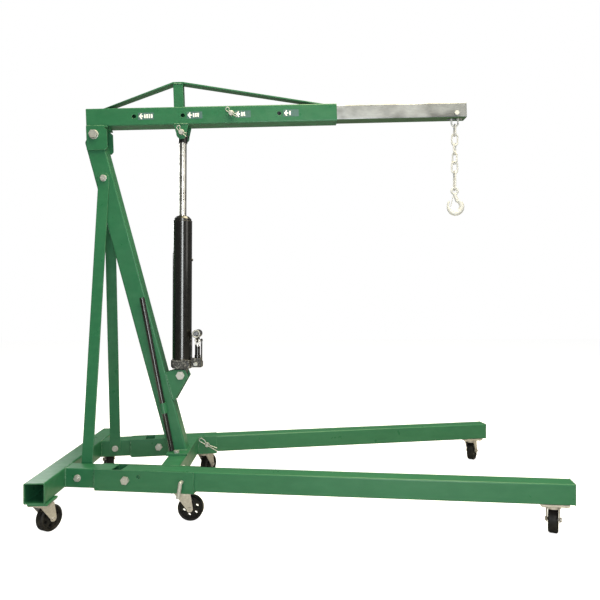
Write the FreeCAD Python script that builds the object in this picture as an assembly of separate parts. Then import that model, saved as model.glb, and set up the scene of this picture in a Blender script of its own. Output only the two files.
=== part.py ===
"""Folding engine hoist crane: castered base with two fold-up legs, leaning mast, ram-lifted boom.

Frame: +X forward towards the hook, +Y left, +Z up, origin on the floor under the middle of the
crane's box. Lengths in millimetres, angles in degrees.
"""
import FreeCAD, Part
import math
import os

V = FreeCAD.Vector
X, Y, Z = V(1, 0, 0), V(0, 1, 0), V(0, 0, 1)
ORIGIN = V(0, 0, 0)
SIDES = {"left": 1, "right": -1}

# ---- driving dimensions -------------------------------------------------------------------
LENGTH = 1830.0          # crossmember's rear face to leg tips
CASTER_HEIGHT = 106.0    # caster's mounting face above the floor
PAD = 6.0                # plate between a caster and the tube above it
BASE_Z = CASTER_HEIGHT + PAD
TUBE = 70.0              # square tube of base, legs, mast and outer boom
WALL = 4.0
CORNER = 5.0             # outer corner radius of the tubes
HALF = TUBE / 2
REAR_X = -LENGTH / 2
FRAME_X = REAR_X + TUBE  # front face of the rear crossmember
CROSS_LENGTH = 840.0
MID_Z = BASE_Z + HALF    # centre height of the base tubes

SPLAY = 8.64             # each leg opens outwards by this angle
RAIL_Y = 205.3           # leg centre line at the crossmember's front face
RAIL_END = 178.0         # stations along a leg, from the crossmember's front face
CHANNEL_START = 118.0
CHANNEL_END = 484.0
CHANNEL_WALL = 5.0
CHANNEL_INNER = TUBE + 1.6
CHANNEL_HALF = CHANNEL_INNER / 2 + CHANNEL_WALL
CHANNEL_FLOOR_GAP = 1.0
LEG_START = 216.0
LEG_PIVOT = 234.0
LEG_BOLT_R = 8.0
FOLD_LOCK = 281.6
FOLD_LOCK_RISE = 13.0
LEG_LOCK = 440.5
LOCK_R = 7.0
LEG_TIP = 1774.9
CAP = 3.0
MID_CASTER = 434.0
TIP_CASTER = 1711.0
REAR_CASTER_Y = 375.0
REAR_CASTER_X = -870.0
BRACE_STATION = 52.0

BEAM_REAR = FRAME_X + 336.0
BEAM_FRONT = BEAM_REAR + TUBE

LEAN = 14.9              # mast leans back from the vertical
PIVOT = V(-805.0, 0, 1437.0)     # boom pivot
PIVOT_FORWARD = 9.0      # boom pivot in front of the mast's centre line
MAST_TOP_R = 26.5
FOOT_PLATE = V(82.0, 184.0, 8.0)
FOOT_X = -475.0
FOOT_Z = BASE_Z + TUBE + FOOT_PLATE.z
FOOT_BOLT = V(-479.0, 72.0, 0)

BOOM_PITCH = 2.0
BOOM_REAR = -30.0        # boom stations, along the boom from its pivot
BOOM_END = 960.0
BOOM_DROP = 34.0         # boom's underside above the pivot
BOOM_MID = BOOM_DROP + HALF
HOLE_FIRST = 156.5
HOLE_PITCH = 191.0
HOLE_COUNT = 4
PIN_HOLE = 2             # the boom is pinned at the third hole
BOOM_PIN_R = 8.0
CLIP_R = 1.8             # wire of the spring clips
CLIP_TURN = 30.0
INNER = 60.0
INNER_WALL = 4.0
INNER_TAIL = 40.0        # inner boom behind its pin hole
INNER_TIP = 1487.4
HOOK_BOLT = 1446.0
HOOK_BOLT_RISE = 56.0
HOOK_BOLT_R = 5.0

RAM_TOP = 340.0          # upper ram pin ahead of the boom pivot, along the boom
RAM_FOOT = V(-470.5, 0, 487.0)
RAM_PIN_R = 9.0
RAM_R = 38.0
ROD_R = 15.0
BLOCK_LOW, BLOCK_HIGH = 28.0, 61.0
HEAD_LOW, HEAD_HIGH = 618.0, 635.0
PISTON_LOW, PISTON_HIGH = 210.0, 236.0
BORE_R = 27.0
FIT = 0.05               # radial running clearance

PUMP_REAR = 39.5         # joint between the ram's base and the pump block, ahead of the ram axis
PUMP_X = 62.0            # pump axis ahead of the ram axis
LEVER_Z = 136.0          # lever pins above the lower ram pin
SOCKET_Z = 165.0
SOCKET_R, SOCKET_BORE = 16.0, 11.0
FULCRUM_Y = 28.0

LINK_BAR = 7.0
LINK_WIDTH = 30.0
TOP_LINK = (64.0, 34.0)  # length and width of the link that hangs on the boom's bolt
LINKS = ((53.0, 90.0), (53.0, 0.0), (53.0, 58.0), (53.0, -58.0), (53.0, 0.0), (85.0, 90.0))
PLAY = 1.0               # gap between bars that hang in each other

WHEEL_R, WHEEL_WIDTH = 45.0, 32.0
TRAIL = 26.0
AXLE_R = 5.0
LIGHT_HOLE_R = 6.8
CASTER_PLATE = (88.0, 62.0)    # length and width


# ---- helpers --------------------------------------------------------------------------------
def box(x0, x1, y0, y1, z0, z1):
    return Part.makeBox(x1 - x0, y1 - y0, z1 - z0, V(x0, y0, z0))


def rod(start, direction, radius, length):
    return Part.makeCylinder(radius, length, start, direction)


def ring(start, direction, outer, inner, length):
    return rod(start, direction, outer, length).cut(rod(start, direction, inner, length))


def hexagon(start, direction, across, length):
    """Six-sided prism of the given width across its flats."""
    corner = across / math.sqrt(3)
    points = [V(corner * math.cos(math.radians(60 * i)), corner * math.sin(math.radians(60 * i)), 0)
              for i in range(7)]
    prism = Part.Face(Part.makePolygon(points)).extrude(V(0, 0, length))
    prism.Placement = FreeCAD.Placement(start, FreeCAD.Rotation(Z, direction))
    return prism


def bolt(start, direction, radius, grip, across=None, tail=4.0):
    """Hex bolt and nut: the head ends at start, the nut begins grip further along."""
    across = across or 3.2 * radius
    head = 1.3 * radius
    shank = rod(start, direction, radius, grip + 1.6 * radius + tail)
    head_solid = hexagon(start - direction * head, direction, across, head)
    nut = hexagon(start + direction * grip, direction, across, 1.6 * radius)
    nut = nut.cut(rod(start + direction * grip, direction, radius + FIT, 1.6 * radius))
    return [shank.fuse(head_solid).removeSplitter(), nut]


def slab(points, y0, y1):
    """Plate whose outline is given in X and Z, from y0 to y1."""
    wire = Part.makePolygon([V(x, y0, z) for x, z in points] + [V(points[0][0], y0, points[0][1])])
    return Part.Face(wire).extrude(V(0, y1 - y0, 0))


def turned(shape, point, axis, angle):
    shape = shape.copy()
    shape.rotate(point, axis, angle)
    return shape


def moved(shape, offset):
    shape = shape.copy()
    shape.translate(offset)
    return shape


def square_bar(x0, x1, half, radius, z_mid):
    """Square bar along X with rounded corners."""
    bar = box(x0, x1, -half, half, z_mid - half, z_mid + half)
    long_edges = [e for e in bar.Edges if abs(e.tangentAt(e.FirstParameter).x) > 0.99]
    return bar.makeFillet(radius, long_edges)


def square_tube(x0, x1, half, wall, z_mid):
    """Square tube along X with rounded corners, open at both ends."""
    outer = square_bar(x0, x1, half, CORNER, z_mid)
    return outer.cut(square_bar(x0 - 1, x1 + 1, half - wall, CORNER - 2, z_mid))


def save(name, shapes):
    shapes = shapes if isinstance(shapes, list) else [shapes]
    solids = [solid for shape in shapes for solid in shape.Solids]
    shape = solids[0] if len(solids) == 1 else Part.makeCompound(solids)
    shape.exportStep("parts/%s.step" % name)
    if not shape.isValid():
        print("invalid", name)


# ---- placing --------------------------------------------------------------------------------
def on_leg(shape, side):
    """From a leg's own frame (X along it, Y outwards on the left) into the crane's frame."""
    placed = turned(shape, ORIGIN, Z, side * SPLAY)
    return moved(placed, V(FRAME_X, side * RAIL_Y, 0))


def leg_point(station, out, z, side):
    angle = math.radians(side * SPLAY)
    along = V(math.cos(angle), math.sin(angle), 0)
    across = V(-math.sin(angle), math.cos(angle), 0)
    return V(FRAME_X, side * RAIL_Y, z) + along * station + across * (out * side)


def on_boom(shape):
    """From the boom's frame (X along it, Z up from the pivot) into the crane's frame."""
    placed = turned(shape, ORIGIN, Y, -BOOM_PITCH)
    return moved(placed, PIVOT)


def boom_point(u, y, w):
    angle = math.radians(BOOM_PITCH)
    return PIVOT + V(u * math.cos(angle) - w * math.sin(angle), y,
                     u * math.sin(angle) + w * math.cos(angle))


RAM_HEAD = boom_point(RAM_TOP, 0, 0)
RAM_TILT = math.degrees(math.atan2(RAM_HEAD.x - RAM_FOOT.x, RAM_HEAD.z - RAM_FOOT.z))
RAM_LENGTH = RAM_HEAD.distanceToPoint(RAM_FOOT)


def on_ram(shape):
    """From the ram's frame (Z along it, from the lower pin) into the crane's frame."""
    placed = turned(shape, ORIGIN, Y, RAM_TILT)
    return moved(placed, RAM_FOOT)


def on_mast(shape):
    """From the mast's frame (Z along it, from the boom pivot) into the crane's frame."""
    placed = turned(shape, ORIGIN, Y, -LEAN)
    return moved(placed, PIVOT)


def mast_point(forward, y, rise):
    angle = math.radians(LEAN)
    return PIVOT + V(forward * math.cos(angle) - rise * math.sin(angle), y,
                     forward * math.sin(angle) + rise * math.cos(angle))


# ---- base -----------------------------------------------------------------------------------
def rear_crossmember():
    tube = turned(square_tube(-CROSS_LENGTH / 2, CROSS_LENGTH / 2, HALF, WALL, MID_Z), ORIGIN, Z, 90)
    save("rear_crossmember", moved(tube, V(REAR_X + HALF, 0, 0)))


def side_rail(name, side):
    """Short tube from the crossmember into the leg channel, with the weld up its outer corners."""
    tube = square_tube(-20, RAIL_END, HALF, WALL, MID_Z)
    bead = CHANNEL_HALF - HALF
    for flank in (1, -1):
        corner = [V(CHANNEL_START, flank * HALF, BASE_Z), V(CHANNEL_START - bead, flank * HALF, BASE_Z),
                  V(CHANNEL_START, flank * (HALF + bead), BASE_Z), V(CHANNEL_START, flank * HALF, BASE_Z)]
        tube = tube.fuse(Part.Face(Part.makePolygon(corner)).extrude(V(0, 0, TUBE)))
    rail = on_leg(tube.removeSplitter(), side)
    rail = rail.cut(box(REAR_X - 99, FRAME_X, -999, 999, 0, 999))
    hole = rod(leg_point(BRACE_STATION, -TUBE, MID_Z, side), leg_normal(side), 6.0 + FIT, 2 * TUBE)
    save("side_rail_" + name, rail.cut(hole))


def leg_normal(side):
    """Unit vector pointing outwards across a leg."""
    angle = math.radians(side * SPLAY)
    return V(-math.sin(angle), math.cos(angle), 0) * side


def leg_channel(name, side):
    low = BASE_Z - PAD
    outer = box(CHANNEL_START, CHANNEL_END, -CHANNEL_HALF, CHANNEL_HALF, low, BASE_Z + TUBE)
    inside = CHANNEL_INNER / 2
    trough = box(CHANNEL_START - 1, CHANNEL_END + 1, -inside, inside,
                 BASE_Z - CHANNEL_FLOOR_GAP, BASE_Z + TUBE + 1)
    channel = outer.cut(trough)
    holes = [(LEG_PIVOT, MID_Z, LEG_BOLT_R), (LEG_LOCK, MID_Z, LOCK_R),
             (FOLD_LOCK, MID_Z + FOLD_LOCK_RISE, LOCK_R)]
    for station, z, radius in holes:
        channel = channel.cut(rod(V(station, -99, z), Y, radius + FIT, 198))
    save("leg_channel_" + name, on_leg(channel, side))


def front_crossbeam():
    """Tube between the two channels, its ends cut to their splay."""
    angle = math.radians(SPLAY)

    def reach(x):
        return RAIL_Y + (x - FRAME_X) * math.tan(angle) - CHANNEL_HALF / math.cos(angle)

    near, far = reach(BEAM_REAR), reach(BEAM_FRONT)
    outline = [V(BEAM_REAR, -near, BASE_Z), V(BEAM_FRONT, -far, BASE_Z), V(BEAM_FRONT, far, BASE_Z),
               V(BEAM_REAR, near, BASE_Z), V(BEAM_REAR, -near, BASE_Z)]
    room = Part.Face(Part.makePolygon(outline)).extrude(V(0, 0, TUBE))
    tube = turned(square_tube(-RAIL_Y - TUBE, RAIL_Y + TUBE, HALF, WALL, MID_Z), ORIGIN, Z, 90)
    beam = moved(tube, V(BEAM_REAR + HALF, 0, 0)).common(room)
    for side in SIDES.values():
        beam = beam.cut(rod(V(FOOT_BOLT.x, side * FOOT_BOLT.y, 0), Z, 6.0 + FIT, 500))
    save("front_crossbeam", beam)


def caster_pads():
    pads = [box(REAR_CASTER_X - 33, REAR_CASTER_X + 33, side * REAR_CASTER_Y - 45, side * REAR_CASTER_Y + 45,
                CASTER_HEIGHT, BASE_Z) for side in SIDES.values()]
    save("rear_caster_pads", pads)


# ---- mast and braces ------------------------------------------------------------------------
def mast():
    """Square post with a rounded head between the boom's pivot plates."""
    rear, front = -PIVOT_FORWARD - HALF, HALF - PIVOT_FORWARD
    long = 1400.0
    tube = turned(square_tube(-MAST_TOP_R - 9, long, HALF, WALL, 0), ORIGIN, Y, 90)
    tube = moved(tube, V(-PIVOT_FORWARD, 0, 0))
    head = rod(V(0, -HALF, 0), Y, MAST_TOP_R, TUBE)
    shoulder = slab([(rear, -long), (rear, -22), (-MAST_TOP_R, 0), (MAST_TOP_R, 0), (front, -23),
                     (front, -long)], -HALF, HALF)
    shape = tube.common(head.fuse(shoulder))
    shape = shape.cut(rod(V(0, -99, 0), Y, 10.0 + FIT, 198))
    shape = shape.cut(rod(V(-PIVOT_FORWARD, -99, -174), Y, 6.0 + FIT, 198))
    post = on_mast(shape).cut(box(-999, 999, -99, 99, -300, FOOT_Z))
    half = FOOT_PLATE.x / 2
    plate = box(FOOT_X - half, FOOT_X + half, -FOOT_PLATE.y / 2, FOOT_PLATE.y / 2, BASE_Z + TUBE, FOOT_Z)
    for side in SIDES.values():
        plate = plate.cut(rod(V(FOOT_BOLT.x, side * FOOT_BOLT.y, 0), Z, 6.0 + FIT, 500))
    save("mast_post", post)
    save("mast_foot_plate", plate)


def quad(centre, across, through, width, thick):
    """Closed rectangle wire centred at a point."""
    half_a, half_t = across * (width / 2), through * (thick / 2)
    return Part.makePolygon([centre - half_a - half_t, centre + half_a - half_t, centre + half_a + half_t,
                             centre - half_a + half_t, centre - half_a - half_t])


def brace(side):
    """Flat bar from the mast's side down to the inner face of the side rail, bent at both ends."""
    width, thick, reach = 42.0, 6.0, 20.0
    top = mast_point(-PIVOT_FORWARD, side * (HALF + thick / 2), -174)
    foot = leg_point(BRACE_STATION, -(HALF + thick / 2), MID_Z - 4, side)
    normal = leg_normal(side)
    along = leg_point(1, 0, 0, side) - leg_point(0, 0, 0, side)
    upper_bend = top - Z * 34
    lower_bend = foot + Z * 44
    strip = Part.makeLoft([quad(upper_bend, X, Y, width, thick), quad(lower_bend, along, normal, width, thick)],
                          True, True)
    head = Part.makeLoft([quad(top + Z * reach, X, Y, width - 16, thick), quad(top + Z * 8, X, Y, width, thick),
                          quad(upper_bend, X, Y, width, thick)], True, True)
    tail = Part.makeLoft([quad(lower_bend, along, normal, width, thick),
                          quad(foot - Z * 8, along, normal, width, thick),
                          quad(foot - Z * reach, along, normal, width - 16, thick)], True, True)
    bar = strip.fuse([head, tail])
    bar = bar.cut(rod(top - Y * 20, Y, 6.0 + FIT, 40))
    bar = bar.cut(rod(leg_point(BRACE_STATION, -TUBE, MID_Z, side), normal, 6.0 + FIT, TUBE))
    return bar


def frame_bolts():
    """Bolts that hold the braces and the mast's foot."""
    head = mast_point(-PIVOT_FORWARD, -(HALF + 6), -174)
    group = bolt(head, Y, 6.0, TUBE + 12)
    for side in SIDES.values():
        normal = leg_normal(side)
        start = leg_point(BRACE_STATION, -(HALF + 6), MID_Z, side)
        group += bolt(start, normal, 6.0, TUBE + 6)
        foot_head = V(FOOT_BOLT.x, side * FOOT_BOLT.y, FOOT_Z)
        group += bolt(foot_head, Z * -1, 6.0, TUBE + FOOT_PLATE.z, tail=3.0)
    save("frame_bolts", group)


def ram_lower_bracket():
    """Two ears welded to the mast's front face, holding the lower ram pin."""
    foot = RAM_FOOT

    def front_face(z):
        rise = (z - PIVOT.z) / math.cos(math.radians(LEAN))
        return mast_point(HALF - PIVOT_FORWARD, 0, rise + (HALF - PIVOT_FORWARD) * -math.tan(math.radians(LEAN))).x

    top, low = foot.z + 16, foot.z - 101
    outline = [(front_face(top - 4), top - 4), (foot.x - 24, top + 6), (foot.x + 20, top + 5),
               (foot.x + 30, foot.z - 4), (front_face(low) + 4, low), (front_face(low), low)]
    pin = rod(V(foot.x, -99, foot.z), Y, RAM_PIN_R + FIT, 198)
    ears = [slab(outline, y0, y0 + 6).cut(pin) for y0 in (-HALF, HALF - 6)]
    save("ram_lower_bracket", ears)
    stubs = []
    for side in SIDES.values():
        inner = HALF - 6.5
        start = V(foot.x, side * inner, foot.z)
        stub = rod(start, Y * side, RAM_PIN_R, 6.5 + 8)
        stub = stub.fuse(hexagon(V(foot.x, side * HALF, foot.z), Y * side, 30.0, 7.0))
        stubs.append(stub.removeSplitter())
    save("ram_lower_pin", stubs)


def pivot_bolts():
    """Bolts that the boom and the two legs turn on."""
    group = bolt(PIVOT - Y * 43.2, Y, 10.0, 86.4, across=30.0)
    for side in SIDES.values():
        start = leg_point(LEG_PIVOT, CHANNEL_HALF, MID_Z, side)
        group += bolt(start, leg_normal(side) * -1, LEG_BOLT_R, 2 * CHANNEL_HALF, across=26.0)
    save("pivot_bolts", group)


def lock_pin(side):
    """Locking pin's ends in the channel's two walls, with its bent handle outside."""
    normal = leg_normal(side)
    outside = leg_point(LEG_LOCK, CHANNEL_HALF, MID_Z, side)
    inside = leg_point(LEG_LOCK, -CHANNEL_HALF, MID_Z, side)
    outer_stub = rod(outside - normal * CHANNEL_WALL, normal, LOCK_R, CHANNEL_WALL + 14)
    elbow = outside + normal * 14
    along = leg_point(1, 0, 0, side) - leg_point(0, 0, 0, side)
    lean = (Z * -1 - along * 0.16).normalize()
    handle = rod(elbow - lean * 2, lean, LOCK_R, 56)
    outer = outer_stub.fuse([Part.makeSphere(LOCK_R, elbow), handle]).removeSplitter()
    inner = rod(inside + normal * CHANNEL_WALL, normal * -1, LOCK_R, CHANNEL_WALL + 22)
    hole = rod(inside - normal * 16 - X * 20, X, CLIP_R, 40)
    hub = inside - normal * 16
    hole = turned(hole, hub, Y, CLIP_TURN)
    clip = clip_wire(hub, CLIP_TURN, 34, 52)
    return [outer, inner.cut(hole), clip]


def wire(points, radius):
    """Round wire through points, with a ball at every bend."""
    pieces = [Part.makeSphere(radius, point) for point in points[1:]]
    pieces += [rod(a, b - a, radius, a.distanceToPoint(b)) for a, b in zip(points, points[1:])]
    return pieces[0].fuse(pieces[1:])


def clip_wire(centre, angle, neck, tail):
    """R-shaped spring clip in the XZ plane: its straight leg lies along X through the centre."""
    loop = [(-neck - 8 * math.sin(t), 8 - 8 * math.cos(t)) for t in (0.5, 1.05, 1.57, 2.09, 2.64)]
    wave = [(-neck, 16), (-15, 12), (-11, 5.5), (-7.5, 8.5), (0, 11.2), (7.5, 8.5), (11, 5.5),
            (tail - 8, 11)]
    path = [(tail, 0), (-neck, 0)] + loop + wave
    points = [centre + V(x, 0, z) for x, z in path]
    return turned(wire(points, CLIP_R), centre, Y, angle)


def lock_pins():
    save("leg_lock_pins", [piece for side in SIDES.values() for piece in lock_pin(side)])


def handle_line():
    """Bottom and direction of the stowed pump handle."""
    bottom = V(-501.9, -48.5, FOOT_Z + 3.4)
    top = V(-617.6, -48.5, 795.5)
    return bottom, (top - bottom).normalize(), bottom.distanceToPoint(top)


def handle_holder():
    bottom, direction, _ = handle_line()
    sleeve = ring(bottom + direction * 150, direction, 13.5, 10.6, 41)
    lug = box(-999, 999, -HALF - 9, -HALF, 0, 999).common(
        Part.makeCylinder(9, 30, bottom + direction * 155, direction))
    sleeve = sleeve.fuse(lug).cut(rod(bottom, direction, 10.6, 600))
    save("handle_holder", sleeve)


# ---- legs -----------------------------------------------------------------------------------
def leg(name, side):
    tube = square_tube(LEG_START, LEG_TIP - CAP, HALF, WALL, MID_Z)
    corner = box(LEG_START - 1, LEG_PIVOT, -HALF - 1, HALF + 1, BASE_Z - 1, MID_Z)
    corner = corner.cut(rod(V(LEG_PIVOT, -99, MID_Z), Y, HALF, 198))
    tube = tube.cut(corner)
    tube = tube.cut(rod(V(LEG_PIVOT, -99, MID_Z), Y, LEG_BOLT_R + FIT, 198))
    tube = tube.cut(rod(V(LEG_LOCK, -99, MID_Z), Y, LOCK_R + FIT, 198))
    cap = box(LEG_TIP - CAP, LEG_TIP, -HALF, HALF, BASE_Z, BASE_Z + TUBE)
    save("leg_" + name, on_leg(tube, side))
    save("leg_cap_" + name, on_leg(cap, side))


# ---- boom -----------------------------------------------------------------------------------
def hole_stations():
    return [HOLE_FIRST + HOLE_PITCH * i for i in range(HOLE_COUNT)]


def boom_outer():
    tube = square_tube(BOOM_REAR, BOOM_END, HALF, WALL, BOOM_MID)
    for station in hole_stations():
        tube = tube.cut(rod(V(station, -99, BOOM_MID), Y, BOOM_PIN_R + FIT, 198))
    save("boom_outer", on_boom(tube))


def pivot_bracket():
    """Inverted U under the boom's rear end, straddling the mast's head."""
    rear, front, low = BOOM_REAR + 1, 51.0, -61.0
    inner, outer = HALF + 1.7, HALF + 7.7
    web = box(rear, front, -outer, outer, BOOM_DROP - 6, BOOM_DROP)
    outline = [(rear, BOOM_DROP - 6), (front - 10, BOOM_DROP - 6), (front, BOOM_DROP - 16), (front, low + 10),
               (front - 8, low), (rear, low)]
    shape = web.fuse([slab(outline, inner, outer), slab(outline, -outer, -inner)])
    shape = shape.cut(rod(V(0, -99, 0), Y, 10.0 + FIT, 198))
    save("boom_pivot_bracket", on_boom(shape.removeSplitter()))


def truss():
    """Post on the boom with one flat bar bent over it, welded down to the boom at both ends."""
    post_mid, post_half = 330.5, 19.0
    base, top = BOOM_DROP + TUBE, 201.0
    post = box(post_mid - post_half, post_mid + post_half, -post_half, post_half, base, top)
    bore = post_half - 3
    post = post.cut(box(post_mid - bore, post_mid + bore, -bore, bore, base - 1, top + 1))
    thick = 6.0
    ends = [(30.0, base), (post_mid - post_half, top), (post_mid + post_half, top), (905.0, base)]
    outline = ends + [(x, z + thick) for x, z in reversed(ends)]
    outline[-1] = (ends[0][0] - 2, base + 1)
    outline[4] = (ends[3][0] + 26, base)
    save("boom_truss", [on_boom(post), on_boom(slab(outline, -20, 20))])


def ram_upper_bracket():
    """Two tapered ears under the boom that hold the top of the ram."""
    ears = []
    for side in SIDES.values():
        y0 = min(side * (HALF - 5), side * (HALF + 1))
        plate = slab([(RAM_TOP - 29, BOOM_DROP), (RAM_TOP + 29, BOOM_DROP), (RAM_TOP + 18, -10),
                      (RAM_TOP - 18, -10)], y0, y0 + 6)
        plate = plate.fuse(rod(V(RAM_TOP, y0, -4), Y, 20, 6)).removeSplitter()
        ears.append(on_boom(plate.cut(rod(V(RAM_TOP, y0 - 1, 0), Y, RAM_PIN_R + FIT, 8))))
    save("ram_upper_bracket", ears)


def clipped(shape, at, angle):
    """A pin in the boom's frame, drilled for its spring clip, and the clip, turned by an angle."""
    drill = turned(rod(at - X * 20, X, CLIP_R, 40), at, Y, angle)
    return [on_boom(shape.cut(drill)), on_boom(clip_wire(at, angle, 18, 26))]


def boom_pins():
    """The ram's upper pin, and the ends of the pin that fixes the inner boom in the outer one."""
    ram_pin = rod(V(RAM_TOP, -HALF - 14, 0), Y, RAM_PIN_R, TUBE + 18)
    ram_pin = ram_pin.fuse(rod(V(RAM_TOP, HALF + 1, 0), Y, 13, 5))
    pieces = clipped(ram_pin, V(RAM_TOP, -HALF - 9, 0), 42)
    station = HOLE_FIRST + PIN_HOLE * HOLE_PITCH
    for side in SIDES.values():
        start = V(station, side * (HALF - WALL), BOOM_MID)
        stub = rod(start, Y * side, BOOM_PIN_R, WALL + 18)
        if side > 0:
            pieces.append(on_boom(stub.fuse(rod(V(station, HALF, BOOM_MID), Y, 13, 5))))
        else:
            pieces += clipped(stub, V(station, -HALF - 12, BOOM_MID), 31)
    save("boom_pins", pieces)


def boom_inner():
    tail = HOLE_FIRST + PIN_HOLE * HOLE_PITCH - INNER_TAIL
    tube = square_tube(tail, INNER_TIP, INNER / 2, INNER_WALL, BOOM_MID)
    for station in hole_stations()[PIN_HOLE:]:
        tube = tube.cut(rod(V(station, -99, BOOM_MID), Y, BOOM_PIN_R + FIT, 198))
    tube = tube.cut(rod(V(HOOK_BOLT, -99, HOOK_BOLT_RISE), Y, HOOK_BOLT_R + FIT, 198))
    slot_low = BOOM_MID - INNER / 2 - 1
    tube = tube.cut(box(HOOK_BOLT - 32, HOOK_BOLT + 32, -9, 9, slot_low, slot_low + INNER_WALL + 2))
    save("boom_inner", on_boom(tube))
    start = boom_point(HOOK_BOLT, -INNER / 2, HOOK_BOLT_RISE)
    save("hook_bolt", bolt(start, Y, HOOK_BOLT_R, INNER, across=17.0))


def chain_link(length, width, bar):
    """Stadium-shaped link in the XZ plane, its top outside edge at Z = 0."""
    r = bar / 2
    bend = width / 2 - r
    upper, lower = -width / 2, -length + width / 2
    shape = None
    for sign, z in ((1, upper), (-1, lower)):
        profile = Part.Face(Part.Wire(Part.makeCircle(r, V(bend * sign, 0, z), Z)))
        arc = profile.revolve(V(0, 0, z), Y, -180)
        shape = arc if shape is None else shape.fuse(arc)
    for sign in (1, -1):
        shape = shape.fuse(rod(V(sign * bend, 0, lower), Z, r, upper - lower))
    return shape.removeSplitter()


def chain_tops():
    """Top of every link from the boom's bolt down, and last the inside bottom of the lowest link."""
    bolt_at = boom_point(HOOK_BOLT, 0, HOOK_BOLT_RISE)
    tops = [bolt_at + Z * (HOOK_BOLT_R + PLAY + LINK_BAR)]
    for length in [TOP_LINK[0]] + [length for length, turn in LINKS]:
        tops.append(tops[-1] - Z * (length - 2 * LINK_BAR - PLAY))
    tops[-1] = tops[-1] - Z * (LINK_BAR + PLAY)
    return tops


def chain():
    tops = chain_tops()
    save("hook_shackle", moved(chain_link(*TOP_LINK, LINK_BAR), tops[0]))
    links = []
    for (length, turn), top in zip(LINKS, tops[1:]):
        links.append(moved(turned(chain_link(length, LINK_WIDTH, LINK_BAR), ORIGIN, Z, turn), top))
    save("chain_links", links)


EYE_R, EYE_BAR = 12.5, 9.0


def hook_eye():
    """Centre of the hook's eye, hanging over the lowest link's bar."""
    return chain_tops()[-1] + Z * (PLAY - EYE_R + EYE_BAR / 2)


def hook():
    """Eye hook whose section swells through the bowl and tapers to the tip."""
    eye = hook_eye()
    ring_solid = Part.makeTorus(EYE_R, EYE_BAR / 2, eye, Y)
    bowl = eye + V(2, 0, -62)
    sections = []
    steps = 14
    for i in range(steps + 1):
        t = i / steps
        angle = math.radians(70 - 285 * t)
        spread = 25 + 3 * math.sin(math.pi * t) + 6 * t ** 4
        width = 7.5 + 5.0 * math.sin(math.pi * min(1, t * 1.15)) - 3.2 * t
        centre = bowl + V(spread * math.cos(angle), 0, spread * math.sin(angle))
        normal = V(-math.sin(angle), 0, math.cos(angle))
        sections.append(Part.Wire(Part.makeCircle(width, centre, normal)))
    body = Part.makeLoft(sections, True, False)
    tip = Part.makeSphere(width, centre)
    neck_low = bowl + V(25 * math.cos(math.radians(70)), 0, 25 * math.sin(math.radians(70)))
    neck_top = eye - Z * 14
    neck_axis = neck_low - neck_top
    neck = Part.makeCone(6.0, 8.5, neck_axis.Length + 4, neck_top, neck_axis)
    shape = ring_solid.fuse([neck, body, tip])
    pivot = latch_pivot()
    shape = shape.fuse(rod(pivot - Y * 7, Y, 4.2, 14))
    shape = shape.cut(rod(pivot - Y * 9, Y, 1.5, 18))
    slot = box(pivot.x - 8, pivot.x + 4.6, -3.6, 3.6, pivot.z - 9, pivot.z + 5)
    save("hook", [shape.cut(slot).Solids[0], rod(pivot - Y * 7.5, Y, 1.5, 15)])


def latch_pivot():
    return hook_eye() + V(-6.5, 0, -24)


def hook_latch():
    """Sprung safety gate from the hook's neck down to its tip."""
    pivot = latch_pivot()
    barrel = rod(pivot - Y * 3.2, Y, 3.2, 6.4)
    blade = box(-1.1, 1.1, -3.2, 3.2, -40, 0)
    blade = moved(turned(blade, ORIGIN, Y, 14), pivot)
    save("hook_latch", barrel.fuse(blade).cut(rod(pivot - Y * 9, Y, 1.5 + FIT, 18)))


# ---- ram and pump ---------------------------------------------------------------------------
def ram_body():
    lug = rod(V(0, -22, 0), Y, 20, 44).fuse(box(-20, 20, -22, 22, 0, BLOCK_LOW + 1))
    lug = lug.cut(rod(V(0, -99, 0), Y, RAM_PIN_R + FIT, 198))
    block = box(-38, PUMP_REAR, -42, 42, BLOCK_LOW, BLOCK_HIGH)
    block = block.cut(slab([(-39, BLOCK_LOW - 1), (-28, BLOCK_LOW - 1), (-39, BLOCK_LOW + 10)], -43, 43))
    vertical = [e for e in block.Edges if abs(e.tangentAt(e.FirstParameter).z) > 0.99]
    block = block.makeFillet(10, vertical)
    save("ram_base", on_ram(block.fuse(lug).removeSplitter()))
    save("ram_reservoir", on_ram(ring(V(0, 0, BLOCK_HIGH), Z, RAM_R, RAM_R - 3, HEAD_LOW - BLOCK_HIGH)))
    save("ram_pressure_tube", on_ram(ring(V(0, 0, BLOCK_HIGH), Z, 32, BORE_R, HEAD_LOW - BLOCK_HIGH)))
    head = rod(V(0, 0, HEAD_LOW), Z, 35, 7).fuse(Part.makeCone(35, 25, HEAD_HIGH - HEAD_LOW - 7,
                                                               V(0, 0, HEAD_LOW + 7), Z))
    save("ram_head", on_ram(head.cut(rod(V(0, 0, HEAD_LOW - 1), Z, ROD_R + FIT, 40))))
    feed = slab([(34, BLOCK_HIGH), (PUMP_REAR, BLOCK_HIGH), (PUMP_REAR, 150), (38, 160), (34, 160)], -9, 9)
    feed = feed.cut(rod(V(0, 0, BLOCK_HIGH - 1), Z, RAM_R, 200))
    plug = rod(V(RAM_R - 2, 0, 461), X, 5, 6).cut(rod(V(0, 0, 400), Z, RAM_R, 100))
    save("ram_fittings", [on_ram(feed), on_ram(plug)])


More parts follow.
